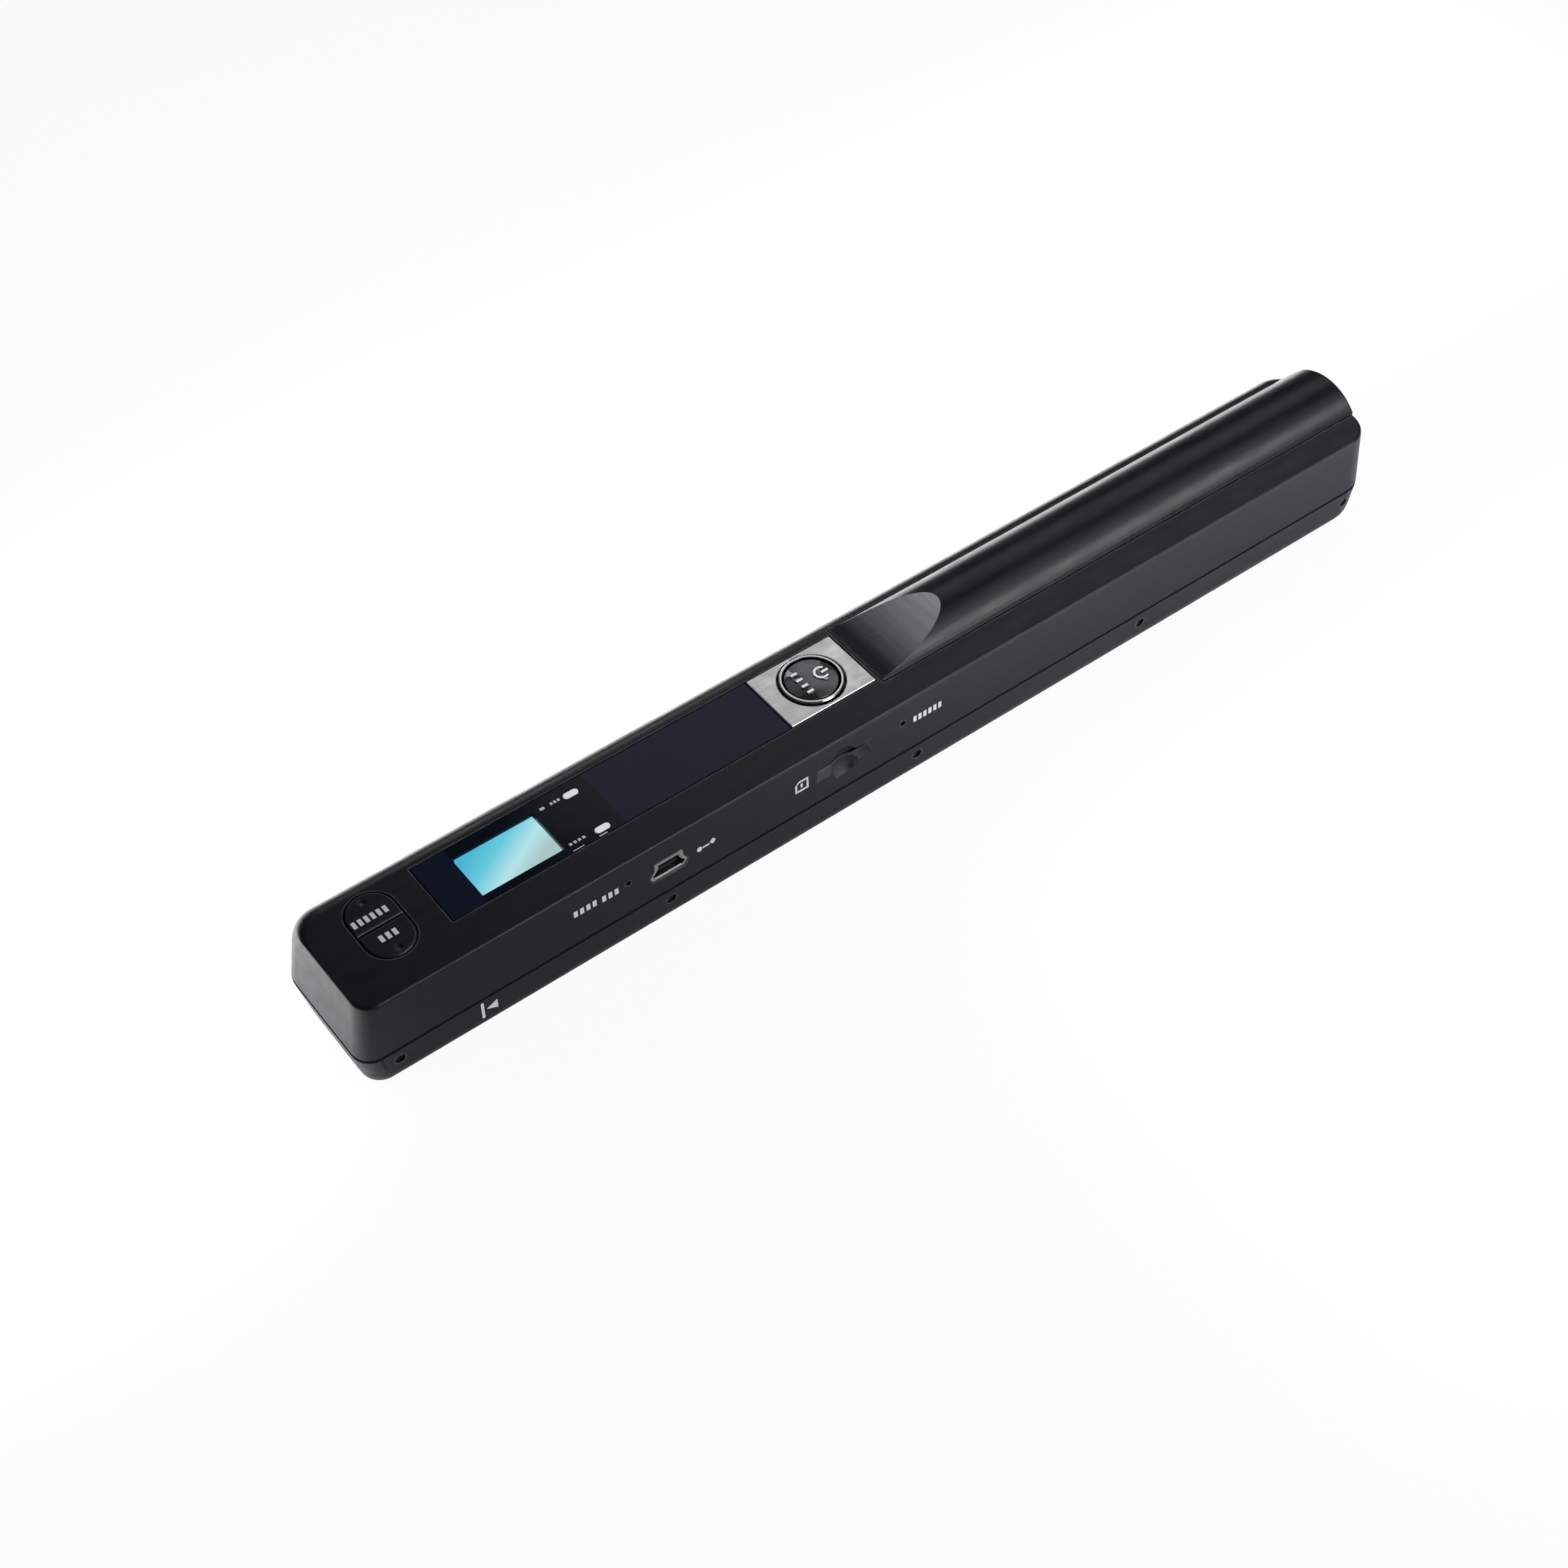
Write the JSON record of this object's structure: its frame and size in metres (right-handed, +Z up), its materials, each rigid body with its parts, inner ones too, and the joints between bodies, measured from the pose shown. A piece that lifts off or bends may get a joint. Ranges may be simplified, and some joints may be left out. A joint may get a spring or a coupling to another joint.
{
  "type": "handheld document scanner",
  "caption": "Long slim document scanner with a barrel grip over its battery bay, a flush display panel, a round scan button and a glass scanning window between rubber rollers underneath",
  "frame": {"origin": "on the resting plane, under the middle of the body", "axes": "X along the body towards the grip end, Y from the front wall with the sockets to the back, Z up"},
  "size_m": [0.256, 0.0298, 0.0282],
  "materials": {
    "case_black": "satin moulded black",
    "grip_black": "smooth moulded black",
    "fascia_navy": "high gloss very dark navy",
    "display_cyan": "clear window over a pale cyan backlight",
    "plate_silver": "satin silver",
    "ring_chrome": "polished",
    "button_gunmetal": "dark bright-plated",
    "lamp_white": "milky clear",
    "inner_black": "matte black moulding",
    "pale_plastic": "natural acetal",
    "bright_steel": "bright plated",
    "board_green": "green lacquered board",
    "tyre_rubber": "ground soft rubber",
    "clear_glass": "clear polished",
    "lens_amber": "amber resin",
    "cell_wrap": "plain shrink wrap over a steel can",
    "ribbon_tan": "polyimide ribbon"
  },
  "bodies": {
    "body": {"upper_case": "case_black", "lower_case": "case_black", "fascia_panel": "fascia_navy", "lcd_glass": "display_cyan", "lcd_holder": "lamp_white", "scan_light_pipe": "lamp_white", "status_light_pipe": "lamp_white", "scan_plate": "plate_silver", "button_ring": "ring_chrome", "scan_switch": "inner_black", "format_key_switch": "inner_black", "resolution_key_switch": "inner_black", "clock_switch": "inner_black", "wipe_switch": "inner_black", "usb_shell": "bright_steel", "usb_tongue": "inner_black", "card_socket": "bright_steel", "main_board": "board_green", "processor_chip": "inner_black", "battery_cradle": "inner_black", "cell_1": "cell_wrap", "cell_2": "cell_wrap", "battery_spring": "bright_steel", "spring_plate": "bright_steel", "contact_plate": "bright_steel", "sensor_glass": "clear_glass", "sensor_housing": "inner_black", "lens_array": "lens_amber", "light_guide": "clear_glass", "sensor_board": "board_green", "sensor_ribbon": "ribbon_tan", "encoder_bush_left": "pale_plastic", "encoder_bush_right": "pale_plastic", "idle_bush_left": "pale_plastic", "idle_bush_right": "pale_plastic", "encoder_eye": "inner_black", "case_screw_1": "bright_steel", "case_screw_2": "bright_steel", "case_screw_3": "bright_steel", "case_screw_4": "bright_steel"},
    "door": {"battery_door": "grip_black"},
    "scan_button": {"scan_button": "button_gunmetal", "scan_plunger": "pale_plastic"},
    "format_key": {"format_key": "case_black", "format_key_plunger": "pale_plastic"},
    "resolution_key": {"resolution_key": "case_black", "resolution_key_plunger": "pale_plastic"},
    "clock_plunger": {"clock_plunger": "pale_plastic"},
    "wipe_plunger": {"wipe_plunger": "pale_plastic"},
    "encoder_axle": {"encoder_axle": "bright_steel", "encoder_tyre_left": "tyre_rubber", "encoder_tyre_right": "tyre_rubber", "encoder_gear": "pale_plastic"},
    "encoder_disc": {"encoder_spindle": "bright_steel", "encoder_pinion": "pale_plastic", "encoder_disc": "pale_plastic"},
    "idle_axle": {"idle_axle": "bright_steel", "idle_tyre_left": "tyre_rubber", "idle_tyre_right": "tyre_rubber"}
  },
  "joints": [
    {"name": "battery_door_lift", "type": "slide", "parent": "body", "child": "door", "axis": [0, 0, 1], "range_m": [0, 0.03]},
    {"name": "scan_button_press", "type": "slide", "parent": "body", "child": "scan_button", "axis": [0, 0, -1], "range_m": [0, 0.0005], "stiffness_N_per_m": 1500, "springref_m": -0.0005},
    {"name": "format_key_press", "type": "slide", "parent": "body", "child": "format_key", "axis": [0, 0, -1], "range_m": [0, 0.0004], "stiffness_N_per_m": 1500, "springref_m": -0.0005},
    {"name": "resolution_key_press", "type": "slide", "parent": "body", "child": "resolution_key", "axis": [0, 0, -1], "range_m": [0, 0.0004], "stiffness_N_per_m": 1500, "springref_m": -0.0005},
    {"name": "clock_plunger_press", "type": "slide", "parent": "body", "child": "clock_plunger", "axis": [0, 1, 0], "range_m": [0, 0.00025], "stiffness_N_per_m": 1500, "springref_m": -0.0004},
    {"name": "wipe_plunger_press", "type": "slide", "parent": "body", "child": "wipe_plunger", "axis": [0, 1, 0], "range_m": [0, 0.00025], "stiffness_N_per_m": 1500, "springref_m": -0.0004},
    {"name": "encoder_axle_spin", "type": "hinge", "parent": "body", "child": "encoder_axle", "pos_m": [0, 0.009, 0.00355], "axis": [1, 0, 0], "continuous": true},
    {"name": "encoder_disc_spin", "type": "hinge", "parent": "body", "child": "encoder_disc", "pos_m": [0, 0.009, 0.00827], "axis": [1, 0, 0], "continuous": true},
    {"name": "idle_axle_spin", "type": "hinge", "parent": "body", "child": "idle_axle", "pos_m": [0, -0.009, 0.00355], "axis": [1, 0, 0], "continuous": true}
  ],
  "couplings": [
    {"joint": "encoder_disc_spin", "follows": "encoder_axle_spin", "ratio": -1.3}
  ]
}
